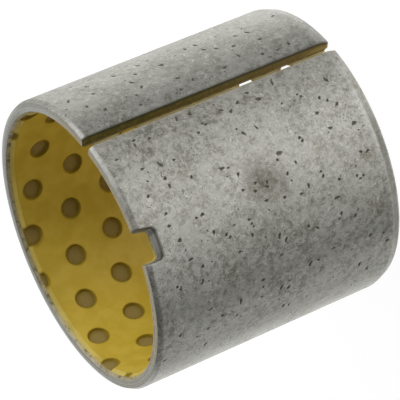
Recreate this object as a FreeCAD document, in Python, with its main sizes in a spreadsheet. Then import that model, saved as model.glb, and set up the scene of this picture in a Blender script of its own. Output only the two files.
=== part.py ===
"""Split cab mount bushing, rolled from a three-layer bearing strip.

A steel backing carries a thin sintered bronze layer, and the bronze carries an acetal lining with round
grease pockets punched through to the bronze. The strip is rolled round the Z axis, so a narrow gap runs
along its whole length. The bush stands on its lead-in end at Z = 0, and the end with the notch is up.
The notch faces -Y.
"""
import FreeCAD, Part
import Sketcher
import itertools
import math
import os

# Driving sizes in millimetres and degrees: name, value, what it is.
DRIVING = [
    ("bore_diameter", 35.0, "pin hole, over the acetal lining"),
    ("liner_thickness", 0.3, "acetal lining"),
    ("bronze_thickness", 0.25, "sintered bronze under the lining"),
    ("steel_thickness", 1.45, "steel backing"),
    ("bush_length", 36.0, "end to end"),
    ("gap_width", 1.6, "between the two edges of the rolled strip, measured outside"),
    ("gap_bearing", 44.6, "from the notch to the middle of the gap, round the axis"),
    ("lead_chamfer_length", 1.2, "long outside chamfer that leads the bush into its housing"),
    ("lead_chamfer_angle", 20.0, "its slope against the axis"),
    ("rim_chamfer_length", 0.6, "short outside chamfer at the notched end"),
    ("rim_chamfer_angle", 29.0, "its slope against the axis"),
    ("bore_chamfer_length", 0.9, "chamfer inside both ends, along the axis"),
    ("bore_chamfer_depth", 0.6, "the same chamfer, along the radius"),
    ("notch_width", 4.4, "across the notch, on the outside of the steel"),
    ("notch_depth", 2.6, "down from the end face, on the outside of the steel"),
    ("notch_corner_radius", 0.6, "inside corners of the notch"),
    ("notch_gap_side_draft", 19.0, "slope of the side wall nearer the gap, narrower towards the bore"),
    ("notch_far_side_draft", 1.0, "slope of the other side wall"),
    ("notch_floor_draft", 10.0, "slope of the notch floor, shallower towards the bore"),
    ("pocket_diameter", 2.8, "grease pocket, at the bore"),
    ("pocket_wall_draft", 27.0, "slope of the pocket wall"),
    ("row_pitch", 6.0, "along the strip, from a pocket to the next in its row"),
    ("row_climb", 1.6, "towards the notched end over the same step"),
    ("file_pitch", 6.25, "towards the notched end, from a pocket to the next in its file"),
    ("file_shift", 1.45, "along the strip over the same step"),
    ("first_pocket_inset", 1.0, "from the strip's starting edge to the first pocket's centre"),
    ("first_pocket_height", 12.4, "from the lead-in end to the first pocket's centre"),
]

# Sizes that follow from the driving ones: name, formula, what it is.
DERIVED = [
    ("bore_radius", "=bore_diameter / 2", "inside of the lining"),
    ("bronze_inner_radius", "=bore_radius + liner_thickness", "lining against bronze"),
    ("steel_inner_radius", "=bronze_inner_radius + bronze_thickness", "bronze against steel"),
    ("outer_radius", "=steel_inner_radius + steel_thickness", "outside of the bush"),
    ("gap_angle", "=2 * asin(gap_width / 2 / outer_radius)", "angle that the gap takes out of the circle"),
    ("lead_chamfer_depth", "=lead_chamfer_length * tan(lead_chamfer_angle)", "along the radius"),
    ("rim_chamfer_depth", "=rim_chamfer_length * tan(rim_chamfer_angle)", "along the radius"),
]

# How far each cutting shape runs past the surface that it cuts.
OVERRUN = 1.0
# Where a sketch's outline lies before its constraints move it, across and up.
ROUGH_PLACE = 3.0
# A pocket that only grazes an edge of the strip by less than this share of its radius isn't cut.
GRAZE_SHARE = 0.25

doc = FreeCAD.newDocument("CabMountBushing")
sheet = doc.addObject("Spreadsheet::Sheet", "Sizes")


def fill_sheet():
    """Writes the driving and derived sizes, one row each, with the name as the cell's alias."""
    rows = DRIVING + DERIVED
    for row, (alias, content, note) in enumerate(rows, start=1):
        sheet.set(f"A{row}", alias)
        sheet.set(f"B{row}", str(content))
        sheet.set(f"C{row}", note)
        sheet.setAlias(f"B{row}", alias)
    doc.recompute()


def size(alias):
    """A size from the sheet as a plain number."""
    value = sheet.get(alias)
    return float(getattr(value, "Value", value))


def bind(thing, prop, formula):
    """Ties a property to a formula over the sheet's names, such as '{bore_radius} - 1'."""
    names = {alias: f"Sizes.{alias}" for alias, _, _ in DRIVING + DERIVED}
    thing.setExpression(prop, formula.format(**names))


def origin_plane(body, role):
    """One of a body's own origin planes."""
    return next(plane for plane in body.Origin.OriginFeatures if plane.Role == role)


def pin_point(sketch, line, across, up):
    """Fixes the start of a line by two formulas, counted from the sketch's origin."""
    for kind, formula in (("DistanceX", across), ("DistanceY", up)):
        index = sketch.addConstraint(Sketcher.Constraint(kind, -1, 1, line, 1, 1.0))
        bind(sketch, f"Constraints[{index}]", formula)


def rolled_strip(name, section):
    """A layer of the strip, rolled: the section is swung about the axis and leaves the gap open.

    The section is a closed outline of (radius, height) formulas. The gap's middle comes to gap_bearing
    from -Y, counted anticlockwise as seen from the notched end.
    """
    body = doc.addObject("PartDesign::Body", name)
    sketch = body.newObject("Sketcher::SketchObject", name + "_section")
    sketch.AttachmentSupport = (origin_plane(body, "XZ_Plane"), [""])
    sketch.MapMode = "FlatFace"
    corners = len(section)
    # Rough places on a circle, which only keep the outline open until its constraints move it.
    turns = [2 * math.pi * k / corners for k in range(corners)]
    rough = [FreeCAD.Vector(ROUGH_PLACE + math.cos(turn), ROUGH_PLACE + math.sin(turn), 0) for turn in turns]
    for k in range(corners):
        sketch.addGeometry(Part.LineSegment(rough[k], rough[(k + 1) % corners]), False)
    for k in range(corners):
        sketch.addConstraint(Sketcher.Constraint("Coincident", k, 2, (k + 1) % corners, 1))
    for k, (radius, height) in enumerate(section):
        pin_point(sketch, k, radius, height)
    doc.recompute()
    roll = body.newObject("PartDesign::Revolution", name + "_roll")
    roll.Profile = sketch
    roll.ReferenceAxis = (sketch, ["V_Axis"])
    roll.Midplane = True
    bind(roll, "Angle", "360 deg - {gap_angle}")
    bind(body, "Placement.Rotation.Angle", "({gap_bearing} + 90) * 1 deg")
    return body


def ring_section(inner, outer):
    """The plain rectangle between two radii, over the bush's whole length."""
    return [(inner, "0"), (outer, "0"), (outer, "{bush_length}"), (inner, "{bush_length}")]


def steel_section():
    """The steel's rectangle with its two outside chamfers."""
    return [
        ("{steel_inner_radius}", "0"),
        ("{outer_radius} - {lead_chamfer_depth}", "0"),
        ("{outer_radius}", "{lead_chamfer_length}"),
        ("{outer_radius}", "{bush_length} - {rim_chamfer_length}"),
        ("{outer_radius} - {rim_chamfer_depth}", "{bush_length}"),
        ("{steel_inner_radius}", "{bush_length}"),
    ]


def bore_chamfer(name, at_top):
    """A cone that cuts the chamfer inside one end, through as many layers as it reaches."""
    cone = doc.addObject("Part::Cone", name)
    slope = "{bore_chamfer_depth} / {bore_chamfer_length}"
    wide = f"{{bore_radius}} + {{bore_chamfer_depth}} + {OVERRUN} * {slope}"
    narrow = f"{{bore_radius}} - {OVERRUN} * {slope}"
    bind(cone, "Radius1", narrow if at_top else wide)
    bind(cone, "Radius2", wide if at_top else narrow)
    bind(cone, "Height", f"{{bore_chamfer_length}} + 2 * {OVERRUN}")
    foot = f"{{bush_length}} - {{bore_chamfer_length}} - {OVERRUN}" if at_top else f"-{OVERRUN}"
    bind(cone, "Placement.Base.z", foot)
    return cone


def edge_names(feature, wanted):
    """Names of a feature's edges that a test picks."""
    return [f"Edge{k}" for k, edge in enumerate(feature.Shape.Edges, start=1) if wanted(edge)]


def is_floor_corner(edge):
    """Whether an edge of the notch wedge runs through the wall and lies on its floor."""
    first, last = (vertex.Point for vertex in edge.Vertexes)
    runs_through = abs(first.y - last.y) > OVERRUN
    return runs_through and max(first.z, last.z) < size("bush_length") + OVERRUN


def notch_cutter():
    """The wedge that the punch takes out of the notched end, through the whole wall.

    Its side walls and its floor lean, so it is widest and deepest outside the steel. The wall nearer the
    gap, on the +X side, leans most, because the punch went in askew.
    """
    body = doc.addObject("PartDesign::Body", "notch_cutter")
    wedge = body.newObject("PartDesign::AdditiveWedge", "notch_wedge")
    # Each end of the wedge, as its distance inwards from the bush's outer surface.
    ends = (("", f"(-{OVERRUN})"), ("2", f"({{outer_radius}} - {{bore_radius}} + {OVERRUN})"))
    for tag, inward in ends:
        for end, draft, sign in (("max", "notch_gap_side_draft", ""), ("min", "notch_far_side_draft", "-")):
            half = f"({{notch_width}} / 2 - {inward} * tan({{{draft}}}))"
            bind(wedge, f"X{tag}{end}", sign + half)
        bind(wedge, f"Z{tag}min", f"{{bush_length}} - {{notch_depth}} + {inward} * tan({{notch_floor_draft}})")
        bind(wedge, f"Z{tag}max", "{bush_length} + {notch_depth}")
    bind(wedge, "Ymin", f"-{{outer_radius}} + {ends[0][1]}")
    bind(wedge, "Ymax", f"-{{outer_radius}} + {ends[1][1]}")
    doc.recompute()
    rounding = body.newObject("PartDesign::Fillet", "notch_corners")
    rounding.Base = (wedge, edge_names(wedge, is_floor_corner))
    bind(rounding, "Radius", "{notch_corner_radius}")
    return body


def pocket_places():
    """Pocket centres on the flat strip: distance from its starting edge, and height.

    Pockets stand in rows that climb round the bush and in files that lean along it. One that the strip's
    edge cuts through is kept, as it is on strip cut from a punched sheet.
    """
    strip = math.radians(360 - size("gap_angle")) * size("bore_radius")
    reach = size("pocket_diameter") / 2 * (1 - GRAZE_SHARE)
    # More steps each way than the strip can hold, whichever way the rows and files lean.
    steps = range(-2 * int(strip / size("row_pitch")), 2 * int(strip / size("row_pitch")))
    places = []
    for in_file, in_row in itertools.product(steps, steps):
        along = size("first_pocket_inset") + in_row * size("row_pitch") + in_file * size("file_shift")
        height = size("first_pocket_height") + in_row * size("row_climb") + in_file * size("file_pitch")
        if -reach < along < strip + reach and -reach < height < size("bush_length") + reach:
            places.append((along, height))
    return places


def pocket_cutters():
    """One cone for each grease pocket, pointing out from the axis and past the lining."""
    past = 0.5 * size("liner_thickness")
    taper = math.tan(math.radians(size("pocket_wall_draft")))
    mouth = size("pocket_diameter") / 2
    depth = size("liner_thickness") + 2 * past
    start_edge = size("gap_bearing") + size("gap_angle") / 2
    cones = []
    for along, height in pocket_places():
        bearing = math.radians(start_edge - 90) + along / size("bore_radius")
        outward = FreeCAD.Vector(math.cos(bearing), math.sin(bearing), 0)
        foot = outward * (size("bore_radius") - past) + FreeCAD.Vector(0, 0, height)
        cones.append(Part.makeCone(mouth + past * taper, mouth + (past - depth) * taper, depth, foot, outward))
    punches = doc.addObject("Part::Feature", "pocket_cutters")
    punches.Shape = Part.makeCompound(cones)
    return punches


def cut(name, base, tool):
    """One boolean cut."""
    result = doc.addObject("Part::Cut", name)
    result.Base = base
    result.Tool = tool
    return result


def check_objects(nodes):
    """Stops unless every object is sound and every node is one closed solid."""
    for thing in doc.Objects:
        bad = [state for state in thing.State if state in ("Invalid", "Error")]
        if bad:
            raise RuntimeError(f"{thing.Label} is {bad}: {thing.getStatusString()}")
    for node in nodes:
        shape = node.Shape
        if shape.isNull() or not shape.isValid():
            raise RuntimeError(f"{node.Label} has no valid shape")
        if len(shape.Solids) != 1:
            raise RuntimeError(f"{node.Label} has {len(shape.Solids)} solids instead of one")


fill_sheet()

steel_strip = rolled_strip("steel_strip", steel_section())
bronze_strip = rolled_strip("bronze_strip", ring_section("{bronze_inner_radius}", "{steel_inner_radius}"))
liner_strip = rolled_strip("liner_strip", ring_section("{bore_radius}", "{bronze_inner_radius}"))
doc.recompute()

edge_cutters = doc.addObject("Part::MultiFuse", "edge_cutters")
edge_cutters.Shapes = [
    bore_chamfer("lead_end_bore_chamfer", at_top=False),
    bore_chamfer("notched_end_bore_chamfer", at_top=True),
    notch_cutter(),
]
doc.recompute()

punched_liner = cut("punched_liner", liner_strip, pocket_cutters())
nodes = [
    cut("steel_backing", steel_strip, edge_cutters),
    cut("bronze_interlayer", bronze_strip, edge_cutters),
    cut("acetal_liner", punched_liner, edge_cutters),
]
doc.recompute()
check_objects(nodes)

os.makedirs("parts", exist_ok=True)
for node in nodes:
    node.Shape.exportStep(f"parts/{node.Label}.step")
    box = node.Shape.BoundBox
    print(f"{node.Label}: volume {node.Shape.Volume:.3f}, faces {len(node.Shape.Faces)}, height {box.ZLength:.3f}")
print(f"pockets: {len(pocket_places())}")
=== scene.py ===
"""Cab mount bushing: the dressed layers, their materials, the light and the camera.

Sizes are in millimetres and degrees and follow the frame: the bush stands on its lead-in end at height 0,
the notched end is up, and the notch faces -Y. A bearing counts anticlockwise from the notch, as seen from
the notched end. Meshes are made on the flat strip, as (distance along the strip, height), and then rolled.
"""
import math

import bpy
import numpy as np
from mathutils import Matrix, Vector
from mathutils.geometry import delaunay_2d_cdt


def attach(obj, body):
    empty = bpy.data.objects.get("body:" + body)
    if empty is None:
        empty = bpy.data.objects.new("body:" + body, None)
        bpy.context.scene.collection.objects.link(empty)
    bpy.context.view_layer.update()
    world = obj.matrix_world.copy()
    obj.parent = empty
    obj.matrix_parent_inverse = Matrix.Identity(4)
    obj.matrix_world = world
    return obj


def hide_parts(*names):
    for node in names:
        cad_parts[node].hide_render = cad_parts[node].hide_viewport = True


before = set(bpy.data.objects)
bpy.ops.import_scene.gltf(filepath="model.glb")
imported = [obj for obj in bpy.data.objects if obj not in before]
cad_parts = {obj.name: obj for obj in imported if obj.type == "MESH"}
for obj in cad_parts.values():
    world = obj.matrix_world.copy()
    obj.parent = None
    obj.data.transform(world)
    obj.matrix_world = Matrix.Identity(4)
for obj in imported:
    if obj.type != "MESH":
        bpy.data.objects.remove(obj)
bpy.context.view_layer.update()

MM = 0.001

OUTER_RADIUS = 19.5
STEEL_INNER_RADIUS = 18.05
BRONZE_INNER_RADIUS = 17.8
BORE_RADIUS = 17.5
LENGTH = 36.0
GAP_BEARING = 44.6
GAP_WIDTH = 1.6
GAP_ANGLE = math.degrees(2 * math.asin(GAP_WIDTH / 2 / OUTER_RADIUS))
STRIP_START = GAP_BEARING + GAP_ANGLE / 2
STRIP_END = STRIP_START + 360 - GAP_ANGLE

LEAD_CHAMFER_LENGTH = 1.2
LEAD_CHAMFER_SLOPE = math.tan(math.radians(20))
RIM_CHAMFER_LENGTH = 0.6
RIM_CHAMFER_SLOPE = math.tan(math.radians(29))
BORE_CHAMFER_LENGTH = 0.9
BORE_CHAMFER_DEPTH = 0.6
BORE_CHAMFER_SLOPE = BORE_CHAMFER_DEPTH / BORE_CHAMFER_LENGTH

NOTCH_WIDTH = 4.4
NOTCH_DEPTH = 2.6
NOTCH_CORNER_RADIUS = 0.6
NOTCH_GAP_SIDE_SLOPE = math.tan(math.radians(19))
NOTCH_FAR_SIDE_SLOPE = math.tan(math.radians(1))
NOTCH_FLOOR_SLOPE = math.tan(math.radians(10))
# The punch left the side wall nearer the gap out of line with the bush, by this much to each millimetre of
# height, and its floor a little bowed: up to this share of the distance from the outside.
NOTCH_SKEW = 0.2
NOTCH_BOW = 0.12

# The pockets' pattern: rows that climb, files that lean, and the first pocket from the strip's start.
POCKET_RADIUS = 1.4
POCKET_WALL_SLOPE = math.tan(math.radians(27))
ROW_PITCH = 6.0
ROW_CLIMB = 1.6
FILE_PITCH = 6.25
FILE_SHIFT = 1.45
FIRST_POCKET = (1.0, 12.4)
# Pockets that sit a little off the pattern: bearing, height, and how far along the strip and up.
SHIFTED_POCKETS = (
    (202.6, 19.0, (0.0, -0.65)),
    (45.5, 6.2, (-0.6, 0.3)),
    (123.4, 35.95, (0.0, 0.35)),
    (103.8, 34.35, (0.0, 0.3)),
    (251.4, 34.65, (0.0, 0.4)),
)

# Sides of a layer's outline on the flat strip.
LEAD, SPLIT_END, RIM, NOTCH, SPLIT_START = range(5)
SPLITS = (SPLIT_START, SPLIT_END)
# Points on each side of an outline, the same at every radius, so that two outlines pair up.
SIDE_POINTS = {"lead": 408, "split": 120, "short_rim": 40, "long_rim": 350}
NOTCH_WALL_POINTS = 9
NOTCH_FLOOR_POINTS = 12
# How far apart the points of a layer's plain back are.
BACK_SPACING = 1.4
# A distance beyond all others.
FAR = 99.0


# Smooth changes

def smooth_step(low, high, value):
    share = np.clip((value - low) / (high - low), 0, 1)
    return share * share * (3 - 2 * share)


def band(value, rise, fall):
    """One between two ramps and zero outside them; each ramp is where it starts and where it ends."""
    return smooth_step(*rise, value) * (1 - smooth_step(*fall, value))


def bell(distance, width):
    """One at a distance of zero, falling away over this width."""
    return np.exp(-(distance / width) ** 2)


def rounding(distance, radius):
    """How far a rounded edge has dropped at a distance from the wall that it turns into."""
    share = np.clip(1 - distance / radius, 0, 1)
    return radius * (1 - np.sqrt(1 - share ** 2))


# Places on the strip

def chamfer_height(radius):
    """How far the bore chamfer takes a layer's end back from the end face, at this radius."""
    return max(0.0, BORE_RADIUS + BORE_CHAMFER_DEPTH - radius) / BORE_CHAMFER_SLOPE


def notch_path(radius, top):
    """The notch's outline from its side near the gap to its far side, as (sideways distance, height)."""
    inward = OUTER_RADIUS - radius
    gap_side = NOTCH_WIDTH / 2 - inward * NOTCH_GAP_SIDE_SLOPE
    far_side = NOTCH_WIDTH / 2 - inward * NOTCH_FAR_SIDE_SLOPE
    floor = LENGTH - NOTCH_DEPTH + inward * NOTCH_FLOOR_SLOPE
    corner = NOTCH_CORNER_RADIUS
    centre = floor + corner
    walls = []
    for half in (gap_side, far_side):
        wall = [(half, z) for z in np.linspace(top, centre, NOTCH_WALL_POINTS)[:-1]]
        arc = [
            (half - corner * (1 - math.cos(turn)), centre - corner * math.sin(turn))
            for turn in np.linspace(0, math.pi / 2, NOTCH_WALL_POINTS)
        ]
        walls.append(wall + arc)
    near_gap, far = walls
    across = np.linspace(near_gap[-1][0], -far[-1][0], NOTCH_FLOOR_POINTS)
    floor_points = [(x, floor) for x in across[1:-1]]
    path = near_gap + floor_points + [(-x, z) for x, z in reversed(far)]
    middle_height = LENGTH - NOTCH_DEPTH / 2
    shaped = []
    for x, z in path:
        skew = NOTCH_SKEW * (z - middle_height) * smooth_step(-0.5, 1.5, x)
        low = 1 - smooth_step(0, corner, z - floor)
        bow = NOTCH_BOW * inward * low * (1 - (x / (NOTCH_WIDTH / 2)) ** 2)
        shaped.append((x + skew, z + bow))
    return shaped


def outline(radius):
    """A layer's outline at a radius, anticlockwise: points (along the strip, height), and their sides."""
    low = chamfer_height(radius)
    high = LENGTH - low
    start = math.radians(STRIP_START) * radius
    end = math.radians(STRIP_END) * radius
    notch = [(radius * (2 * math.pi + math.asin(x / radius)), z) for x, z in notch_path(radius, high)]
    points = []
    sides = []

    def run(first, last, count, side):
        for part in range(count):
            points.append(np.array(first) + (np.array(last) - np.array(first)) * part / count)
            sides.append(side)

    run((start, low), (end, low), SIDE_POINTS["lead"], LEAD)
    run((end, low), (end, high), SIDE_POINTS["split"], SPLIT_END)
    run((end, high), notch[0], SIDE_POINTS["short_rim"], RIM)
    points += [np.array(place) for place in notch[:-1]]
    sides += [NOTCH] * (len(notch) - 1)
    run(notch[-1], (start, high), SIDE_POINTS["long_rim"], RIM)
    run((start, high), (start, low), SIDE_POINTS["split"], SPLIT_START)
    return np.array(points), np.array(sides)


def inset(loop, distance):
    """The outline moved into the strip by a distance."""
    ahead = np.roll(loop, -1, axis=0) - loop
    ahead /= np.linalg.norm(ahead, axis=1)[:, None]
    normal = np.column_stack([-ahead[:, 1], ahead[:, 0]])
    before = np.roll(normal, 1, axis=0)
    return loop + distance * (normal + before) / (1 + (normal * before).sum(1))[:, None]


def distance_to_path(points, path):
    """Each point's distance from an open path."""
    first = path[:-1]
    along = path[1:] - first
    reach = points[:, None, :] - first[None]
    share = np.clip((reach * along).sum(2) / (along * along).sum(1), 0, 1)
    return np.linalg.norm(reach - share[..., None] * along, axis=2).min(1)


class Strip:
    """One surface of a layer on the flat strip, with what its points need to know of its sides."""

    def __init__(self, radius):
        self.radius = radius
        self.loop, self.sides = outline(radius)
        self.low = self.loop[:, 1].min()
        self.high = self.loop[:, 1].max()
        self.start = self.loop[:, 0].min()
        self.end = self.loop[:, 0].max()
        on_notch = np.nonzero(self.sides == NOTCH)[0]
        self.notch = self.loop[on_notch[0]:on_notch[-1] + 2]

    def notch_distance(self, points):
        """Distance from the notch's outline, far away for points that are nowhere near it."""
        result = np.full(len(points), FAR)
        near = np.abs(points - self.notch.mean(0)).max(1) < NOTCH_WIDTH
        result[near] = distance_to_path(points[near], self.notch)
        return result

    def split_distance(self, points):
        return np.minimum(points[:, 0] - self.start, self.end - points[:, 0])

    def end_distance(self, points):
        return np.minimum(points[:, 1] - self.low, self.high - points[:, 1])

    def in_notch_box(self, points):
        """Whether points lie in the box round the notch's opening."""
        low, floor = self.notch.min(0)
        high = self.notch[:, 0].max()
        return (points[:, 0] > low) & (points[:, 0] < high) & (points[:, 1] > floor)

    def in_notch(self, points):
        """Whether points lie in the notch's opening itself, with its corner arcs followed."""
        inside = np.zeros(len(points), bool)
        for k in np.nonzero(self.in_notch_box(points))[0]:
            x, z = points[k]
            inside[k] = z > np.interp(-x, -self.notch[:, 0], self.notch[:, 1])
        return inside

    def margin(self, points):
        """Distance from the nearest side, for points inside the outline."""
        plain = np.minimum(self.end_distance(points), self.split_distance(points))
        return np.minimum(plain, self.notch_distance(points))

    def clear(self, points, distance):
        """Whether points are inside the outline and further than this from its sides."""
        return (self.margin(points) > distance) & ~self.in_notch_box(points)

    def grid(self, spacing, distance):
        """Points in a triangular pattern, clear of the sides."""
        points = []
        rows = np.arange(self.low + distance, self.high - distance, spacing * math.sqrt(3) / 2)
        for k, height in enumerate(rows):
            along = np.arange(self.start + distance + (k % 2) * spacing / 2, self.end - distance, spacing)
            points.append(np.column_stack([along, np.full(len(along), height)]))
        points = np.concatenate(points)
        return points[self.clear(points, distance)]


def triangulate(loops, loose):
    """Triangles over closed outlines and the loose points inside them.

    Returns the points, the triangles, and where the points of the first outline came out.
    """
    points = np.concatenate(list(loops) + [loose])
    edges = []
    first = 0
    for loop in loops:
        count = len(loop)
        edges += [(first + k, first + (k + 1) % count) for k in range(count)]
        first += count
    found = delaunay_2d_cdt([Vector(p) for p in points], edges, [], 1, 1e-7)
    came_out = {given[0]: k for k, given in enumerate(found[3]) if given}
    border = np.array([came_out[k] for k in range(len(loops[0]))])
    return np.array([tuple(v) for v in found[0]]), np.array(found[2]), border


def rolled(points, radius, reference):
    """Points on the flat strip as places in space, in metres. The strip's lengths are at the reference."""
    bearing = points[:, 0] / reference - math.pi / 2
    return np.column_stack([radius * np.cos(bearing), radius * np.sin(bearing), points[:, 1]]) * MM


def plain_back(strip, loose):
    """A layer's outer side without detail: its places in space, its triangles and its border."""
    points, triangles, border = triangulate([strip.loop], loose)
    return rolled(points, strip.radius, strip.radius), triangles, border


def joined(front, levels, wall_slots, back, slots):
    """A layer's faces and their slots: its front, the walls from each level to the next, and its back.

    The surfaces are triangles, the levels are rings of points, and slots are the front's and the back's.
    """
    faces = [tuple(triangle) for triangle in front]
    for upper, lower in zip(levels, levels[1:]):
        for k in range(len(upper)):
            after = (k + 1) % len(upper)
            faces.append((upper[after], upper[k], lower[k], lower[after]))
    faces += [tuple(reversed(triangle)) for triangle in back]
    walls = list(wall_slots) * (len(levels) - 1)
    return faces, [slots[0]] * len(front) + walls + [slots[1]] * len(back)


def to_nearest(points, places):
    """Each point's distance from the nearest place, and the way there."""
    best = np.full(len(points), FAR)
    way = np.zeros((len(points), 2))
    for place in places:
        reach = place - points
        distance = np.linalg.norm(reach, axis=1)
        closer = distance < best
        best[closer] = distance[closer]
        way[closer] = reach[closer] / np.maximum(distance[closer], 1e-9)[:, None]
    return best, way


def new_object(name, data):
    made = bpy.data.objects.new(name, data)
    bpy.context.scene.collection.objects.link(made)
    return made


SHARP_ANGLE = 38


def make_piece(name, vertices, faces, face_slots, materials, attributes):
    """A mesh object that rides on the body, with a float attribute for each entry of attributes."""
    mesh = bpy.data.meshes.new(name)
    mesh.from_pydata(vertices.tolist(), [], [tuple(int(k) for k in face) for face in faces])
    mesh.polygons.foreach_set("use_smooth", np.ones(len(faces), bool))
    mesh.polygons.foreach_set("material_index", np.array(face_slots, dtype=np.int32))
    for label, values in attributes.items():
        attribute = mesh.attributes.new(label, "FLOAT", "POINT")
        attribute.data.foreach_set("value", np.array(values, dtype=np.float32))
    for material in materials:
        mesh.materials.append(material)
    mesh.set_sharp_from_angle(angle=math.radians(SHARP_ANGLE))
    mesh.update()
    return new_object(name, mesh)


def pocket_places():
    """Pocket centres on the flat strip at the bore: (along the strip, height)."""
    start = math.radians(STRIP_START) * BORE_RADIUS
    length = math.radians(STRIP_END - STRIP_START) * BORE_RADIUS
    # A pocket may lie this far past the strip's sides, which then cut it.
    reach = POCKET_RADIUS * 0.75
    most = 2 * int(length / ROW_PITCH)
    steps = range(-most, most)
    places = []
    for in_file in steps:
        for in_row in steps:
            along = FIRST_POCKET[0] + in_row * ROW_PITCH + in_file * FILE_SHIFT
            height = FIRST_POCKET[1] + in_row * ROW_CLIMB + in_file * FILE_PITCH
            if -reach < along < length + reach and -reach < height < LENGTH + reach:
                places.append((start + along, height))
    places = np.array(places)
    for bearing, height, shift in SHIFTED_POCKETS:
        place = (math.radians(bearing) * BORE_RADIUS, height)
        places[np.linalg.norm(places - place, axis=1).argmin()] += shift
    return places


def ring(centre, radius, count, turn=0.0):
    """Points on a circle."""
    angles = turn + np.arange(count) * 2 * math.pi / count
    return np.column_stack([centre[0] + radius * np.cos(angles), centre[1] + radius * np.sin(angles)])


# Materials

def add(tree, kind, inputs, **settings):
    """The outputs of a new node. An input is linked if it is another node's output, and set otherwise."""
    made = tree.nodes.new(kind)
    for key, value in settings.items():
        setattr(made, key, value)
    for key, value in inputs.items():
        put(made.inputs[key], value)
    return made.outputs


def put(socket, value):
    if isinstance(value, bpy.types.NodeSocket):
        socket.id_data.links.new(value, socket)
    else:
        socket.default_value = value


class Material:
    """A procedural material, built by short calls. Places are in millimetres."""

    def __init__(self, name):
        self.material = bpy.data.materials.new(name)
        self.material.use_nodes = True
        self.tree = self.material.node_tree
        self.place = self.add("ShaderNodeTexCoord", {})["Object"]
        self.place = self.stretched(1 / MM, 1 / MM, 1 / MM)

    def add(self, kind, inputs, **settings):
        return add(self.tree, kind, inputs, **settings)

    def stretched(self, across, around, along):
        """The place with each axis stretched by its own factor, for streaks."""
        inputs = {"Vector": self.place, "Scale": (across, around, along)}
        return self.add("ShaderNodeMapping", inputs)["Vector"]

    def noise(self, per_mm, detail=3.0, roughness=0.5, distortion=0.0, place=None):
        """Fractal noise with this many features to the millimetre, from 0 to 1."""
        return self.add("ShaderNodeTexNoise", {
            "Vector": place or self.place, "Scale": per_mm, "Detail": detail, "Roughness": roughness,
            "Distortion": distortion,
        })["Fac"]

    def rings(self, per_mm, waver):
        """Noise that changes only with the distance from the bush's axis, like a turning tool's marks."""
        level = self.stretched(1.0, 1.0, 0.0)
        reach = self.add("ShaderNodeVectorMath", {0: level}, operation="LENGTH")["Value"]
        inputs = {"W": self.math("ADD", reach, waver), "Scale": per_mm, "Detail": 1.0}
        return self.add("ShaderNodeTexNoise", inputs, noise_dimensions="1D")["Fac"]

    def ramp(self, value, low, high, start=0.0, end=1.0):
        """A smooth ramp between two values."""
        inputs = {"Value": value, "From Min": low, "From Max": high, "To Min": start, "To Max": end}
        return self.add("ShaderNodeMapRange", inputs, interpolation_type="SMOOTHSTEP")["Result"]

    def math(self, operation, first, second=0.0):
        return self.add("ShaderNodeMath", {0: first, 1: second}, operation=operation)["Value"]

    def away(self, value, level):
        """How far a value is from a level, for thin lines where the two meet."""
        return self.math("ABSOLUTE", self.math("SUBTRACT", value, level))

    def attribute(self, label):
        return self.add("ShaderNodeAttribute", {}, attribute_name=label)["Fac"]

    def mix(self, share, first, second):
        """Two colours mixed; the share may be an output."""
        first, second = [c if isinstance(c, bpy.types.NodeSocket) else (*c, 1.0) for c in (first, second)]
        inputs = {"Factor": share, "A": first, "B": second}
        return self.add("ShaderNodeMix", inputs, data_type="RGBA")["Result"]

    def tinted(self, colour, tints):
        """A colour under tints: each has a value, where it starts and is full, its share and its colour."""
        for value, start, full, share, tint in tints:
            colour = self.mix(self.ramp(value, start, full, 0.0, share), colour, tint)
        return colour

    def bump(self, height, distance, strength):
        """A bump of this depth in millimetres."""
        inputs = {"Height": height, "Distance": distance * MM, "Strength": strength}
        return self.add("ShaderNodeBump", inputs)["Normal"]

    def finish(self, **inputs):
        """Sets the shader's own sockets, named with underscores for spaces, and returns the material."""
        for key, value in inputs.items():
            put(self.tree.nodes["Principled BSDF"].inputs[key.replace("_", " ")], value)
        return self.material


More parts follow.
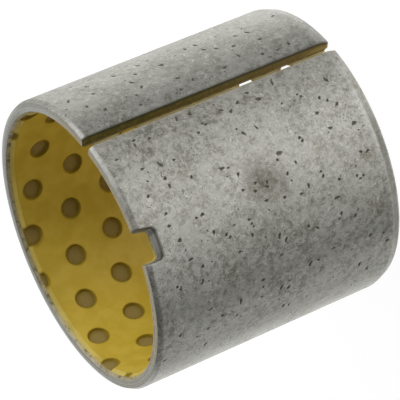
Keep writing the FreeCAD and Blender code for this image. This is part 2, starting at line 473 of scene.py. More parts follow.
def steel_surface():
    """Rolled strip, plated and handled: matte grey with mottling, dark pits and an olive stain, under
    painted light by bearing, with painted highlights and shade at its chamfers and edges.
    """
    m = Material("steel_surface")
    clouds = m.noise(0.13, 2.0, 0.6)
    blotches = m.noise(0.45, 2.0, 0.6)
    mottle = m.noise(1.1, 3.0, 0.75, 0.6)
    worms = m.noise(2.6, 2.0, 0.6, 1.6)
    grain = m.noise(8.0, 2.0, 0.6)
    streaks = m.noise(1.0, 3.0, 0.7, place=m.stretched(3.0, 3.0, 0.35))
    base = m.mix(m.ramp(clouds, 0.35, 0.65), (0.2, 0.198, 0.168), (0.275, 0.272, 0.246))
    colour = m.tinted(base, (
        (blotches, 0.48, 0.3, 0.9, (0.165, 0.152, 0.118)),
        (blotches, 0.52, 0.7, 0.55, (0.31, 0.308, 0.28)),
        (mottle, 0.38, 0.66, 0.8, (0.37, 0.368, 0.335)),
        (mottle, 0.5, 0.3, 0.66, (0.122, 0.12, 0.1)),
        (worms, 0.55, 0.7, 0.5, (0.45, 0.45, 0.42)),
        (worms, 0.44, 0.3, 0.36, (0.095, 0.093, 0.078)),
        (grain, 0.45, 0.7, 0.1, (0.1, 0.097, 0.082)),
        (streaks, 0.6, 0.72, 0.3, (0.4, 0.4, 0.375)),
    ))
    colour = m.mix(m.attribute("calm"), colour, base)
    # Thin pale strokes and dark cracks, each in patches, and dark flecks.
    strokes = m.ramp(m.away(m.noise(0.9, 3.0, 0.55, 0.9), 0.5), 0.028, 0.004)
    strokes = m.math("MULTIPLY", strokes, m.ramp(m.noise(1.3, 1.0), 0.5, 0.64))
    colour = m.mix(m.math("MULTIPLY", strokes, 0.6), colour, (0.5, 0.5, 0.475))
    cracks = m.ramp(m.away(m.noise(1.2, 2.0, 0.5, 1.2), 0.47), 0.026, 0.004)
    cracks = m.math("MULTIPLY", cracks, m.ramp(m.noise(1.0, 1.0), 0.52, 0.66))
    colour = m.mix(m.math("MULTIPLY", cracks, 0.5), colour, (0.1, 0.098, 0.084))
    patches = m.ramp(m.noise(0.3, 1.0), 0.5, 0.62, 0.1, 0.8)
    flecks = m.math("MULTIPLY", m.ramp(m.noise(3.4, 1.0), 0.62, 0.7), patches)
    colour = m.mix(flecks, colour, (0.075, 0.073, 0.062))
    # Painted light and shade by bearing round the bush, as a factor on the colour.
    lit_inputs = {0: colour, "Scale": m.attribute("painted_light")}
    colour = m.add("ShaderNodeVectorMath", lit_inputs, operation="SCALE")["Vector"]
    # The marks that the mesh carries, each broken up by noise where it would look drawn.
    uneven = m.ramp(m.noise(1.5, 4.0, 0.75), 0.35, 0.6, 0.4, 1.0)
    colour = m.mix(m.math("MULTIPLY", m.attribute("stain"), uneven), colour, (0.075, 0.069, 0.043))
    colour = m.mix(m.attribute("cream"), colour, (0.34, 0.30, 0.20))
    uneven = m.ramp(m.noise(1.4, 3.0, 0.7), 0.3, 0.55, 0.35, 1.0)
    # Painted highlights on the chamfers and their edges.
    colour = m.mix(m.math("MULTIPLY", m.attribute("painted_highlight"), uneven), colour, (0.5, 0.5, 0.48))
    # Painted shade along the gap's edge and on the chamfers.
    colour = m.mix(m.attribute("painted_shade_and_dark_marks"), colour, (0.07, 0.07, 0.055))
    ragged = m.math("ADD", m.attribute("pit"), m.ramp(m.noise(5.0, 2.0), 0.3, 0.7, -0.25, 0.25))
    colour = m.mix(m.ramp(ragged, 0.3, 0.75, 0.0, 0.92), colour, (0.06, 0.058, 0.048))
    height = m.math("ADD", mottle, m.math("MULTIPLY", worms, 0.6))
    return m.finish(
        Base_Color=colour, Metallic=0.7, Roughness=m.ramp(mottle, 0.3, 0.7, 0.54, 0.66),
        Normal=m.bump(height, 0.035, 0.7),
    )


def steel_split_face():
    """The strip's sheared edge: olive-brown steel, more golden towards the lead-in end."""
    m = Material("steel_split_face")
    low_down = m.ramp(m.add("ShaderNodeSeparateXYZ", {0: m.place})["Z"], 30.0, 4.0)
    streaks = m.noise(1.1, 4.0, 0.7, 0.5)
    pores = m.noise(3.0, 3.0, 0.7)
    colour = m.mix(low_down, (0.078, 0.066, 0.01), (0.175, 0.125, 0.035))
    colour = m.tinted(colour, (
        (streaks, 0.35, 0.7, 0.7, (0.2, 0.142, 0.04)),
        (pores, 0.5, 0.3, 0.7, (0.055, 0.044, 0.009)),
    ))
    colour = m.mix(m.attribute("cream"), colour, (0.4, 0.3, 0.09))
    # Painted shade along the split face's outer edge.
    colour = m.mix(m.attribute("painted_shade_and_dark_marks"), colour, (0.03, 0.03, 0.014))
    return m.finish(
        Base_Color=colour, Metallic=0.1, Roughness=0.7, Specular_IOR_Level=0.15,
        Normal=m.bump(streaks, 0.03, 0.6),
    )


def steel_end_face():
    """The turned end face and the notch walls."""
    m = Material("steel_end_face")
    grain = m.noise(1.2, 3.0, 0.6, 0.3)
    patches = m.ramp(grain, 0.3, 0.7)
    neutral = m.mix(patches, (0.315, 0.315, 0.283), (0.385, 0.385, 0.352))
    warm = m.mix(patches, (0.28, 0.24, 0.145), (0.4, 0.342, 0.215))
    colour = m.mix(m.attribute("cream"), neutral, warm)
    rings = m.rings(4.5, m.math("MULTIPLY", grain, 0.3))
    colour = m.tinted(colour, (
        (rings, 0.52, 0.38, 0.32, (0.16, 0.16, 0.14)),
        (rings, 0.54, 0.66, 0.3, (0.6, 0.6, 0.55)),
    ))
    # Painted highlights along the end face's edges.
    colour = m.mix(m.attribute("painted_highlight"), colour, (0.6, 0.6, 0.56))
    # Painted shade on the notch walls, with darker marks on the end face.
    colour = m.mix(m.attribute("painted_shade_and_dark_marks"), colour, (0.05, 0.048, 0.035))
    return m.finish(Base_Color=colour, Metallic=0.5, Roughness=0.5, Normal=m.bump(grain, 0.015, 0.4))


def sintered_bronze():
    """Porous bronze under a pocket: dull olive brown, with painted shade towards the pocket's wall, so that
    it is lighter in the middle.
    """
    m = Material("sintered_bronze")
    grains = m.noise(5.0, 4.0, 0.7)
    colour = m.mix(m.ramp(grains, 0.3, 0.7), (0.2, 0.146, 0.024), (0.285, 0.21, 0.042))
    # Painted shade: the floor is darker towards the pocket's wall and lighter in its middle.
    colour = m.mix(m.math("MULTIPLY", m.attribute("middle"), 0.6), colour, (0.31, 0.23, 0.088))
    return m.finish(
        Base_Color=colour, Metallic=0.0, Roughness=0.8, Specular_IOR_Level=0.15,
        Normal=m.bump(grains, 0.05, 0.8),
    )


def cut_bronze(name, dark, pale):
    """The bronze where a side of the strip cuts it: pale, with dark pores."""
    m = Material(name)
    pores = m.noise(0.9, 4.0, 0.75, 0.4)
    colour = m.mix(m.ramp(pores, 0.36, 0.56), dark, pale)
    return m.finish(Base_Color=colour, Metallic=0.2, Roughness=0.6, Normal=m.bump(pores, 0.04, 0.8))


def acetal_face(name, low, high, roughness=0.42, gloss=0.5):
    """Yellow acetal with a faint cloudiness, with painted shade next to a pocket, where it is also less
    glossy.
    """
    m = Material(name)
    clouds = m.noise(0.5, 3.0)
    fine = m.noise(5.0, 3.0)
    colour = m.mix(m.ramp(clouds, 0.35, 0.65), low, high)
    # Painted shade next to a pocket.
    colour = m.mix(m.attribute("pocket_edge"), colour, (0.27, 0.185, 0.018))
    return m.finish(
        Base_Color=colour,
        Roughness=m.ramp(clouds, 0.3, 0.7, roughness - 0.04, roughness + 0.04),
        Normal=m.bump(fine, 0.01, 0.4),
        Specular_IOR_Level=m.ramp(m.attribute("pocket_edge"), 0.0, 0.6, gloss, 0.03),
        Subsurface_Weight=0.1,
        Subsurface_Radius=(0.4, 0.3, 0.1),
        Subsurface_Scale=0.3 * MM,
    )


# The steel backing

# Pits that stand out in the outside of the steel, seen with the notch in front: height below the notched
# end, bearing clockwise from the notch, length and width in hundredths of a millimetre, and the turn of the
# long axis from the bush's axis.
CHOSEN_PITS = (
    (5.4, -37.8, 55, 40, 20), (5.2, -35.8, 50, 30, 80), (7.3, -36.2, 50, 35, 10), (2.1, -33.2, 55, 30, 0),
    (11.8, -39, 50, 30, 60), (13.7, -39.1, 60, 40, -30), (17.6, -35.9, 60, 35, -40), (14.7, -33, 60, 30, 0),
    (13.3, -31, 45, 40, 0), (4.4, -26.3, 60, 30, 5), (6.7, -25.3, 95, 38, -65), (8.6, -25, 50, 32, 0),
    (6.4, -20, 55, 40, 40), (6.5, -16.9, 55, 35, 80), (3.4, -16.3, 50, 32, 30), (9.6, -16.8, 45, 30, 60),
    (13.7, -15.4, 70, 35, -10), (15.4, -11.2, 50, 35, 70), (4.6, -8.2, 50, 30, 20), (4.4, -3.7, 45, 40, 0),
    (9, -2.9, 55, 42, 20), (8.1, -2.6, 40, 30, 0), (5.1, 2.5, 60, 50, 30), (9.7, 4.7, 60, 35, 70),
    (18.6, -4.6, 50, 30, 60), (18.4, -3.2, 60, 28, -20), (15.2, -5.3, 45, 35, 0), (16.7, -3.2, 45, 35, 0),
    (17.1, -5.9, 40, 35, 0), (17.7, 1.5, 60, 30, -10), (14.7, 5.5, 40, 35, 0), (14.9, 7.2, 45, 28, 40),
    (11.2, 7.3, 55, 30, 50), (11.6, 8.7, 50, 30, 20), (14.6, 11.3, 60, 32, 85), (5.8, 10.6, 75, 32, 15),
    (7.1, 14.9, 50, 42, 40), (12.4, 15.4, 50, 30, 25), (3.2, 18.4, 45, 35, 40), (3.6, 19.9, 50, 32, -40),
    (6.7, 20.7, 80, 32, 45), (7.4, 33.5, 75, 26, 25), (11.8, 36, 95, 36, 88), (9.1, 39.2, 50, 40, 0),
    (15.1, 30.7, 65, 45, 10), (15.1, 33.9, 45, 30, 60), (14.9, 38.6, 50, 30, 30), (17.8, 38.3, 80, 28, 60),
    (3, 40, 60, 28, 60), (7.1, 43, 60, 28, 45), (11.3, 42.6, 55, 30, 25), (7.1, 52.5, 90, 28, 65),
    (1.1, 51.2, 60, 26, 30), (20, -36.2, 55, 42, 40), (18.6, -34, 65, 42, 60), (21.9, -38.5, 60, 40, -20),
    (22.7, -34.4, 75, 50, -20), (25.6, -38.5, 85, 36, 75), (25.1, -29.2, 40, 26, 40),
    (27.6, -30.2, 38, 28, 0), (27.9, -28.9, 45, 35, 0), (32.1, -31.3, 80, 38, -70), (30, -25.8, 50, 38, 60),
    (30.8, -23.7, 50, 30, 50), (28.7, -20.8, 60, 40, 0), (31.7, -21.1, 60, 34, 30),
    (18.5, -24.3, 70, 30, -50), (20.4, -24.5, 80, 20, -65), (25, -14.9, 45, 35, 20),
    (25.2, -13.5, 50, 30, 50), (29.4, -13.9, 60, 32, -10), (32.7, -12.2, 80, 45, 10),
    (21.6, -12.6, 90, 50, 0), (21, -10.5, 38, 28, 0), (23.2, -7.2, 50, 28, 80), (21.6, -4.6, 55, 32, 50),
    (26, -0.5, 42, 28, 20), (26.1, 1.3, 55, 32, 45), (32.1, -1.5, 50, 35, -30), (33, -0.8, 60, 26, 20),
    (20.2, 3.1, 45, 38, 0), (23.8, 2.5, 65, 32, 85), (22.5, 4.3, 50, 35, 0), (28.1, 4.8, 50, 40, 0),
    (31.5, 7.1, 42, 36, 0), (31, 7.7, 50, 26, 0), (30.6, 6.2, 45, 26, 80), (27.1, 11, 80, 42, 0),
    (18.2, 15.8, 85, 40, 70), (19, 18.3, 80, 34, 60), (22.4, 17, 50, 36, 30), (23.6, 18.9, 70, 32, -40),
    (29.2, 20.7, 65, 38, 35), (26.9, 19.1, 50, 28, 0), (27.3, 17.4, 60, 30, 60), (18, 23.5, 65, 30, 20),
    (22.1, 32.7, 90, 32, 55), (23.3, 32.6, 55, 28, -30), (31.2, 31.8, 60, 45, 20), (33.2, 33.3, 45, 36, 30),
    (25.5, 30.3, 80, 26, 15), (18.9, 39.6, 75, 34, 40), (33.8, 37.8, 60, 40, 0), (29.8, 44.4, 75, 32, 70),
    (31.2, 49, 70, 28, 50), (18.5, 49.5, 60, 40, 60), (19.4, 50.5, 55, 30, 60), (6.3, -76, 80, 34, -60),
    (2.5, -69.5, 90, 38, 60), (5.8, -68, 55, 40, -50), (3.6, -61.4, 60, 36, 80), (5.1, -56, 60, 38, 50),
    (9.2, -51.4, 48, 34, 0), (9.8, -57, 42, 34, 0), (10.8, -65.3, 80, 36, -60), (11.2, -60.3, 75, 40, 55),
    (12.3, -70.1, 60, 42, -60), (15.9, -69.3, 70, 48, -30), (15.8, -57.3, 65, 36, -25), (15, -51, 50, 42, 0),
    (17.2, -53.4, 60, 32, 45), (10.2, -76, 80, 34, -70), (13.9, -77, 90, 30, -60), (20.5, -74.8, 80, 36, 90),
    (22, -75, 80, 40, -70), (22, -68.3, 70, 32, -50), (23.3, -65.6, 85, 30, -60), (26.9, -69.3, 70, 34, -45),
    (28.5, -68.6, 95, 26, -60), (25.3, -62.8, 55, 40, 0), (28.8, -60.8, 60, 40, -20),
    (24.6, -56.3, 70, 28, 90), (27.3, -52.4, 55, 48, 0), (29.4, -51.6, 60, 28, 0), (31.2, -52.4, 65, 38, 85),
    (21.8, -53.2, 65, 34, 10), (27.8, -49.2, 50, 26, 80), (33.5, -73.5, 60, 40, 30),
)

PIT_DEPTH = 0.09
SMALL_PITS = 420
# Bearings past these two face the photo's camera, where only small pits are added.
CAMERA_SIDE = (280, 100)
# Each ring of points round a pit: distance from its middle as a share of its size, and points.
PIT_RINGS = ((0.4, 6), (0.75, 11), (1.0, 15), (1.25, 15), (1.6, 13))
PIT_CLEAR = 1.85


def all_pits():
    """Every pit as (along the strip, height, half length, half width, turn), listed ones first."""
    pits = []
    strip_end = math.radians(STRIP_END) * OUTER_RADIUS
    for below, clockwise, length, width, turn in CHOSEN_PITS:
        along = math.radians(360 - clockwise) * OUTER_RADIUS
        if along > strip_end:
            along -= 2 * math.pi * OUTER_RADIUS
        pits.append((along, LENGTH - below, length / 200, width / 200, math.radians(90 + turn)))
    # Small ones between them, and the same mix on the side that faces away.
    random = np.random.default_rng(7)
    for _ in range(SMALL_PITS):
        bearing = random.uniform(STRIP_START + 1.5, STRIP_END - 1.5)
        height = random.uniform(1.6, LENGTH - 1.0)
        length = 0.24 + 0.5 * random.random() ** 3
        width = length * random.uniform(0.5, 0.9)
        turn = random.uniform(0, math.pi)
        faces_camera = bearing > CAMERA_SIDE[0] or bearing < CAMERA_SIDE[1]
        if faces_camera and (length > 0.34 or random.random() < 0.35):
            continue
        pits.append((math.radians(bearing) * OUTER_RADIUS, height, length / 2, width / 2, turn))
    return np.array(pits)


def pit_reach(points, pits):
    """For each point and pit, the distance from the pit's middle as a share of its uneven outline."""
    dx = points[:, None, 0] - pits[None, :, 0]
    dz = points[:, None, 1] - pits[None, :, 1]
    turn = pits[None, :, 4]
    u = (dx * np.cos(turn) + dz * np.sin(turn)) / pits[None, :, 2]
    v = (-dx * np.sin(turn) + dz * np.cos(turn)) / pits[None, :, 3]
    angle = np.arctan2(v, u)
    wobble = 1 + 0.12 * np.sin(3 * angle + 7 * turn) + 0.06 * np.sin(5 * angle + 11 * turn)
    return np.hypot(u, v) / wobble


def pit_points(strip, pits, distance):
    """Rings of points round each pit, without those that fall in an earlier pit or near a side."""
    kept = []
    for k, (x, z, half_length, half_width, turn) in enumerate(pits):
        points = [(x, z)]
        for share, count in PIT_RINGS:
            for angle in np.arange(count) * 2 * math.pi / count + share:
                u = share * half_length * math.cos(angle)
                v = share * half_width * math.sin(angle)
                points.append((x + u * math.cos(turn) - v * math.sin(turn),
                               z + u * math.sin(turn) + v * math.cos(turn)))
        points = np.array(points)
        clear = strip.clear(points, distance)
        if k:
            clear &= pit_reach(points, pits[:k]).min(1) > PIT_CLEAR
        kept.append(points[clear])
    return np.concatenate(kept)


STEEL_SPACING = 0.4
# Rows of points next to the sides, by their distance, and at the two chamfers, by their height.
EDGE_ROWS = (0.02, 0.06, 0.12, 0.2, 0.3, 0.42)
CHAMFER_ROWS = (0.6, 0.8, 0.98, 1.1, 1.2, 1.3, 1.45) + tuple(LENGTH - d for d in (0.52, 0.6, 0.68, 0.8))
# The plain grid lies between these heights.
GRID_HEIGHTS = (1.6, LENGTH - 0.95)
CHAMFER_SOFTNESS = 0.06
SPLIT_ROUNDING = 0.1
NOTCH_ROUNDING = 0.14
END_ROUNDING = 0.05
WAVE_HEIGHT = 0.006
# Rows of points down a wall, as shares of the way in.
WALL_SHARES = (0.06, 0.14, 0.25, 0.4, 0.55, 0.7, 0.85, 0.97)
# The olive stain's lobes: bearing anticlockwise from the notch, height below the notched end, reach along
# the strip and along the bush, strength.
STAINS = (
    (8.8, 18.0, (1.5, 1.2), 0.62), (4.8, 17.6, (1.2, 1.1), 0.4),
    (3.2, 18.4, (0.9, 0.9), 0.36), (2.9, 20.2, (1.7, 1.4), 0.6),
    (6.3, 19.6, (1.2, 1.0), 0.3), (9.5, 16.3, (1.4, 0.8), 0.3),
    (5.0, 16.3, (1.2, 0.8), 0.26), (1.2, 17.2, (1.5, 1.2), 0.26),
)

# Painted light and shade round the bush: bearing clockwise from the notch, and a factor on the plating's
# colour.
PAINTED_LIGHT_BY_BEARING = (
    (-95, 1.05), (-88, 1.02), (-70, 0.97), (-61, 1.0), (-56, 0.87), (-49, 0.78), (-41, 0.98),
    (-36, 1.07), (-22, 1.08), (-10, 1.05), (6, 1.1), (14, 1.12), (21, 1.04), (29, 0.87), (36, 0.98),
    (44, 1.08), (51, 0.9), (59, 0.94), (66, 1.04), (71, 1.15), (80, 1.0),
)


def chamfer_drop(distance, length, slope):
    """How far an outside chamfer has dropped at a distance from the end face, with a soft upper edge."""
    reach = length - distance
    return slope * 0.5 * (reach + np.sqrt(reach ** 2 + CHAMFER_SOFTNESS ** 2))


def steel_points(strip, pits):
    """Loose points of the outer surface: rows at the sides and chamfers, rings round pits, and a grid."""
    rows = [inset(strip.loop, distance) for distance in EDGE_ROWS]
    columns = np.arange(strip.start + 0.5, strip.end - 0.5, STEEL_SPACING)
    lines = np.concatenate([np.column_stack([columns, np.full(len(columns), z)]) for z in CHAMFER_ROWS])
    lines = lines[strip.clear(lines, 0.48)]
    spots = pit_points(strip, pits, 0.95)
    grid = strip.grid(STEEL_SPACING, 0.5)
    grid = grid[(grid[:, 1] > GRID_HEIGHTS[0]) & (grid[:, 1] < GRID_HEIGHTS[1])]
    grid = grid[pit_reach(grid, pits).min(1) > PIT_CLEAR]
    return np.concatenate(rows + [lines, spots, grid])


def steel_drop(strip, points, reach):
    """How far inside the outer radius each point of the outer surface lies."""
    x, z = points.T
    drop = chamfer_drop(z, LEAD_CHAMFER_LENGTH, LEAD_CHAMFER_SLOPE)
    drop += chamfer_drop(LENGTH - z, RIM_CHAMFER_LENGTH, RIM_CHAMFER_SLOPE)
    drop += rounding(z, END_ROUNDING) + rounding(LENGTH - z, END_ROUNDING)
    drop += rounding(strip.split_distance(points), SPLIT_ROUNDING)
    drop += rounding(strip.notch_distance(points), NOTCH_ROUNDING)
    drop += PIT_DEPTH * (1 - smooth_step(0.4, 1.2, reach)).max(1)
    drop += WAVE_HEIGHT * (1 + np.sin(0.9 * x + 0.4 * z) * np.sin(0.7 * z - 0.3 * x))
    return drop


def surface_marks(strip, points, clockwise, reach):
    """The marks, painted highlights and painted shade on the outer surface, from 0 to 1, and its painted
    light by bearing. Bearings are in degrees clockwise.
    """
    z = points[:, 1]
    # Painted highlight along the lead chamfer's upper edge, strongest on the side round to the gap.
    lead_edge_highlight = 0.25 + 0.75 * band(clockwise, (-75, -48), (-8, 18))
    painted_highlight = 0.4 * lead_edge_highlight * bell(z - 1.35, 0.32)
    # Painted highlight on the rim chamfer next to the gap, and painted shade on its far part and on the lead
    # chamfer.
    on_rim = smooth_step(LENGTH - 0.54, LENGTH - 0.36, z)
    bright = band(clockwise, (-66, -46), (-32, -2)) + 0.45 * smooth_step(50, 60, clockwise)
    painted_highlight += 0.75 * on_rim * bright
    painted_shade_and_dark_marks = 0.25 * on_rim * band(clockwise, (6, 18), (33, 46))
    on_lead = band(z, (0.08, 0.35), (1.0, 1.25))
    painted_shade_and_dark_marks += 0.62 * on_lead * band(clockwise, (-34, -2), (33, 50))
    # Painted highlight low on the lead chamfer, at two spans of bearing.
    bright = smooth_step(52, 62, clockwise) + band(clockwise, (-66, -52), (-36, -24))
    painted_highlight += 0.3 * (1 - smooth_step(0.5, 1.1, z)) * bright
    # Painted shade along the gap's edge at the strip's start; the other edge is tinted cream.
    painted_shade_and_dark_marks += 0.75 * bell(points[:, 0] - strip.start, 0.22)
    cream = 0.65 * bell(strip.end - points[:, 0], 0.3)
    stain = 0
    for along, below, size, strength in STAINS:
        middle = (math.radians(360 + along) * OUTER_RADIUS, LENGTH - below)
        stain += strength * bell(np.linalg.norm((points - middle) / size, axis=1), 1)
    return {
        "pit": (1 - smooth_step(0.6, 1.4, reach)).max(1),
        "painted_light": np.interp(clockwise, *np.transpose(PAINTED_LIGHT_BY_BEARING)),
        # The mottling is fainter past the gap.
        "calm": 0.28 * (1 - smooth_step(-58, -46, clockwise)),
        "painted_highlight": painted_highlight, "painted_shade_and_dark_marks": painted_shade_and_dark_marks, "cream": cream, "stain": stain,
    }


def wall_marks(strip, clockwise, share):
    """The marks, painted highlights and painted shade on the walls round the strip, at this share of the way
    in from the outside.
    """
    on_split = np.isin(strip.sides, SPLITS)
    at_notch = strip.sides == NOTCH
    at_rim = strip.sides == RIM
    # Painted shade along a cut's outer edge.
    split_edge = 0.8 * (1 - smooth_step(0.12, 0.4, share))
    notch_edge = 0.25 + 0.6 * (1 - smooth_step(0.1, 0.5, share))
    # The turned face has a darker line a third of the way in on the camera's side. On the far side it is
    # darker towards the bore, and its outer edge has a painted highlight, as has its inner part at the top.
    near_side = band(clockwise, (-104, -90), (-22, -8))
    far_side = np.maximum(1 - smooth_step(-112, -92, clockwise), smooth_step(95, 115, clockwise))
    top_side = band(clockwise, (-106, -92), (-66, -54))
    dark_line = 0.15 * near_side * bell(share - 0.3, 0.13)
    dull = 0.3 * far_side * smooth_step(0.4, 0.9, share)
    edge_highlight = 0.75 * far_side * (1 - smooth_step(0.05, 0.35, share))
    edge_highlight += 0.2 * top_side * smooth_step(0.45, 0.65, share)
    # Painted shade in the notch, darkest on its wall near the gap and in its far corner.
    middle = strip.notch[:, 0].mean()
    near_gap = at_notch & (strip.loop[:, 0] > middle + 1.35)
    corner = np.linalg.norm(strip.loop - (middle - 1.9, LENGTH - NOTCH_DEPTH + 0.2), axis=1)
    painted_shade_and_dark_marks = np.where(on_split, split_edge, 0.0) + np.where(at_notch, notch_edge, 0.0)
    painted_shade_and_dark_marks += np.where(at_rim, dark_line + dull, 0.0) + np.where(near_gap, 0.35, 0.0)
    painted_shade_and_dark_marks += np.where(at_notch, 0.5 * bell(corner, 0.6), 0.0)
    # The end face is warmer towards the notch, and the split faces are golden low down near the bore.
    warm = smooth_step(-78, -52, clockwise) * (1 - 0.7 * smooth_step(45, 62, clockwise))
    golden = 0.6 * smooth_step(0.3, 0.75, share) * (1 - smooth_step(1.5, 5.0, strip.loop[:, 1]))
    cream = np.where(at_notch, 0.15, np.where(on_split, golden, warm))
    return {"painted_shade_and_dark_marks": painted_shade_and_dark_marks, "painted_highlight": np.where(at_rim, edge_highlight, 0.0), "cream": cream}


SURFACE_SLOT, SPLIT_SLOT, END_SLOT = range(3)


def build_steel():
    outside = Strip(OUTER_RADIUS)
    inside = Strip(STEEL_INNER_RADIUS)
    pits = all_pits()
    points, triangles, rim = triangulate([outside.loop], steel_points(outside, pits))
    reach = pit_reach(points, pits)
    drop = steel_drop(outside, points, reach)
    top = rolled(points, OUTER_RADIUS - drop, OUTER_RADIUS)
    back_points = np.concatenate([inset(inside.loop, 0.5), inside.grid(BACK_SPACING, 1.2)])
    back, back_triangles, back_rim = plain_back(inside, back_points)

    # The walls: an end face stays at its height and stops at the bore chamfer, and the others lean inwards.
    at_end = np.isin(outside.sides, (LEAD, RIM))
    outer_radius = OUTER_RADIUS - drop[rim]
    inner_radius = np.where(at_end, BORE_RADIUS + BORE_CHAMFER_DEPTH, STEEL_INNER_RADIUS)
    outer = outside.loop / (OUTER_RADIUS, 1)
    inner = inside.loop / (STEEL_INNER_RADIUS, 1)
    walls = []
    for share in WALL_SHARES:
        way_in = np.where(at_end, share / WALL_SHARES[-1], share)
        radius = outer_radius + (inner_radius - outer_radius) * way_in
        part = np.column_stack([np.full(len(rim), share), np.where(at_end, 0.0, share)])
        walls.append(rolled(outer + (inner - outer) * part, radius, 1.0))
    vertices = np.concatenate([top] + walls + [back])

    count = len(rim)
    firsts = [len(top) + k * count for k in range(len(walls) + 1)]
    levels = [rim] + [first + np.arange(count) for first in firsts[:-1]] + [firsts[-1] + back_rim]
    wall_slots = [SPLIT_SLOT if side in SPLITS else END_SLOT for side in outside.sides]
    back_triangles = back_triangles + firsts[-1]
    faces, slots = joined(triangles, levels, wall_slots, back_triangles, (SURFACE_SLOT, SPLIT_SLOT))
    clockwise = (180 - np.degrees(points[:, 0] / OUTER_RADIUS)) % 360 - 180
    marks = {}
    for name, values in surface_marks(outside, points, clockwise, reach).items():
        marks[name] = np.zeros(len(vertices))
        marks[name][:len(top)] = values
    for first, share in zip(firsts, WALL_SHARES):
        for name, values in wall_marks(outside, clockwise[rim], share).items():
            marks[name][first:first + count] = values
    materials = [steel_surface(), steel_split_face(), steel_end_face()]
    return make_piece("steel_shell", vertices, faces, slots, materials, marks)


# The bronze interlayer

# Each ring of points over a pocket's floor: its radius as a share of the pocket's, and its points. The floor
# is rough by the grain's depth.
FLOOR_RINGS = ((0.0, 1), (0.22, 6), (0.45, 10), (0.68, 15), (0.9, 20), (1.1, 20))
GRAIN_DEPTH = 0.02
BRONZE_SLOT, CUT_BRONZE_SLOT, SPLIT_BRONZE_SLOT = range(3)


def build_bronze():
    inner = Strip(BRONZE_INNER_RADIUS)
    outer = Strip(STEEL_INNER_RADIUS)
    places = pocket_places() * (BRONZE_INNER_RADIUS / BORE_RADIUS, 1)
    floors = np.concatenate([
        ring(place, share * POCKET_RADIUS, count, share * 3)
        for place in places for share, count in FLOOR_RINGS
    ])
    floors = floors[inner.clear(floors, 0.12)]
    grid = inner.grid(1.2, 0.5)
    grid = grid[to_nearest(grid, places)[0] > 1.2 * POCKET_RADIUS]
    points, triangles, rim = triangulate([inner.loop], np.concatenate([floors, grid]))

    nearest = to_nearest(points, places)[0]
    random = np.random.default_rng(11)
    drop = GRAIN_DEPTH * random.random(len(points)) * (nearest < 0.95 * POCKET_RADIUS)
    top = rolled(points, BRONZE_INNER_RADIUS + drop, BRONZE_INNER_RADIUS)
    back, back_triangles, back_rim = plain_back(outer, outer.grid(BACK_SPACING, 0.8))
    # Its front faces the bore, so its faces turn the other way.
    levels = [rim, back_rim + len(top)]
    wall_slots = [SPLIT_BRONZE_SLOT if side in SPLITS else CUT_BRONZE_SLOT for side in inner.sides]
    back_triangles = back_triangles + len(top)
    faces, slots = joined(triangles, levels, wall_slots, back_triangles, (BRONZE_SLOT, BRONZE_SLOT))
    faces = [tuple(reversed(face)) for face in faces]
    vertices = np.concatenate([top, back])
    middle = np.zeros(len(vertices))
    # Lighter towards each pocket's middle, darker under its wall: painted shade.
    middle[:len(top)] = 1 - smooth_step(0.35, 1.0, nearest / POCKET_RADIUS)
    materials = [
        sintered_bronze(),
        cut_bronze("cut_bronze", (0.16, 0.138, 0.07), (0.46, 0.40, 0.235)),
        cut_bronze("split_bronze", (0.12, 0.092, 0.027), (0.25, 0.19, 0.072)),
    ]
    return make_piece("bronze_layer", vertices, faces, slots, materials, {"middle": middle})


# The acetal lining

POCKET_POINTS = 36
LINER_EDGE_ROWS = (0.05, 0.14, 0.28)
LINER_SPACING = 0.5
# Rings of points round a pocket, by their distance from its rim, whose edge is rounded and a little raised.
LIP_ROWS = (0.025, 0.065, 0.14, 0.26)
LIP_ROUNDING = 0.07
LIP_HEIGHT = 0.012
LINER_SIDE_ROUNDING = 0.05
LINER_END_ROUNDING = 0.04
# The rounding goes down by this share of the lining's thickness at most.
LINER_ROUNDING_LIMIT = 0.8
# How far the split edge of the lining, smeared by the cut, reaches past the steel at the strip's start.
LINER_PAST_EDGE = 0.2
# Points nearer to a side than this are on it.
ON_SIDE = 1e-4
BORE_SLOT, CUT_SLOT, POCKET_WALL_SLOT, SPLIT_LINER_SLOT = range(4)


def liner_triangles(strip, places):
    """The bore surface with holes at the pockets: its points and its triangles."""
    circles = [ring(place, POCKET_RADIUS, POCKET_POINTS) for place in places]
    lips = np.concatenate([ring(p, POCKET_RADIUS + d, POCKET_POINTS) for p in places for d in LIP_ROWS])
    lips = lips[strip.clear(lips, 0.34)]
    rows = np.concatenate([inset(strip.loop, distance) for distance in LINER_EDGE_ROWS])
    rows = rows[to_nearest(rows, places)[0] > POCKET_RADIUS + 0.04]
    grid = strip.grid(LINER_SPACING, 0.5)
    grid = grid[to_nearest(grid, places)[0] > POCKET_RADIUS + LIP_ROWS[-1] + 0.16]
    points, triangles, _ = triangulate([strip.loop] + circles, np.concatenate([lips, rows, grid]))
    middles = points[triangles].mean(1)
    solid = to_nearest(middles, places)[0] > POCKET_RADIUS - 0.02
    triangles = triangles[solid & (strip.margin(middles) > 0) & ~strip.in_notch(middles)]
    used = np.unique(triangles)
    renumber = np.full(len(points), -1)
    renumber[used] = np.arange(len(used))
    return points[used], renumber[triangles]


def liner_back(strip, points, at_notch, on_pocket, way):
    """The bore surface's points moved to the far side of the layer, out at its pockets, ends and notch."""
    depth = BRONZE_INNER_RADIUS - BORE_RADIUS
    moved = points.copy()
    moved[on_pocket] += way[on_pocket] * depth * POCKET_WALL_SLOPE
    at_lead = points[:, 1] < strip.low + 1e-5
    at_rim = points[:, 1] > strip.high - 1e-5
    moved[:, 1] += depth / BORE_CHAMFER_SLOPE * (at_rim * 1.0 - at_lead)
    moved[at_notch & ~at_rim, 1] -= depth * NOTCH_FLOOR_SLOPE
    near_gap = points[:, 0] > strip.notch[:, 0].mean()
    moved[at_notch & near_gap, 0] += depth * NOTCH_GAP_SIDE_SLOPE
    moved[at_notch & ~near_gap, 0] -= depth * NOTCH_FAR_SIDE_SLOPE
    return moved


